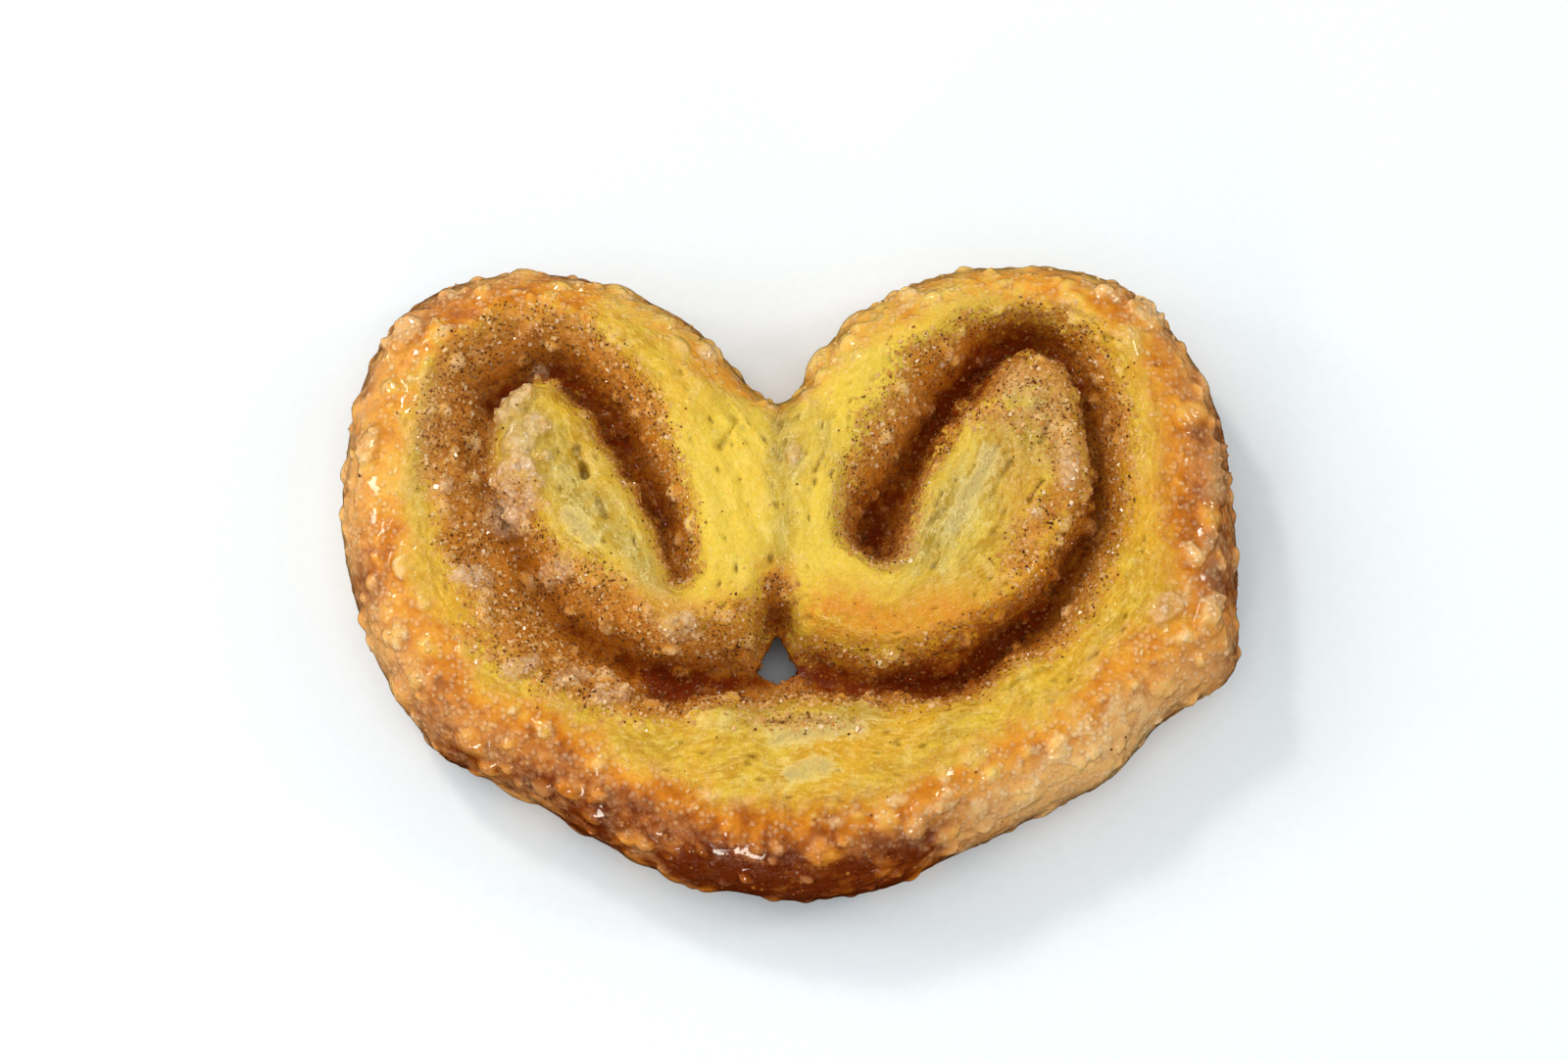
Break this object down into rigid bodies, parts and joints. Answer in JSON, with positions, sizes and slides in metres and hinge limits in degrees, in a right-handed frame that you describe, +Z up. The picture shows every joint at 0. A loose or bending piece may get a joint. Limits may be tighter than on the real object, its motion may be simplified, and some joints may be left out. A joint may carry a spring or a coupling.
{
  "type": "palmier",
  "caption": "Palmier: a slice of sugared, laminated dough rolled in from both ends into two scrolls that meet in the middle, baked lying flat.",
  "frame": {"origin": "middle of the outline's bounding box, on the face that the palmier rests on", "axes": "+X across both scrolls, from left to right; +Y towards the notch between the scrolls; +Z up, out of the cut face that lay uppermost in the oven"},
  "size_m": [0.0998, 0.0716, 0.0165],
  "materials": {
    "baked_dough": "satin"
  },
  "bodies": {
    "root": {"palmier": "baked_dough"}
  },
  "joints": []
}
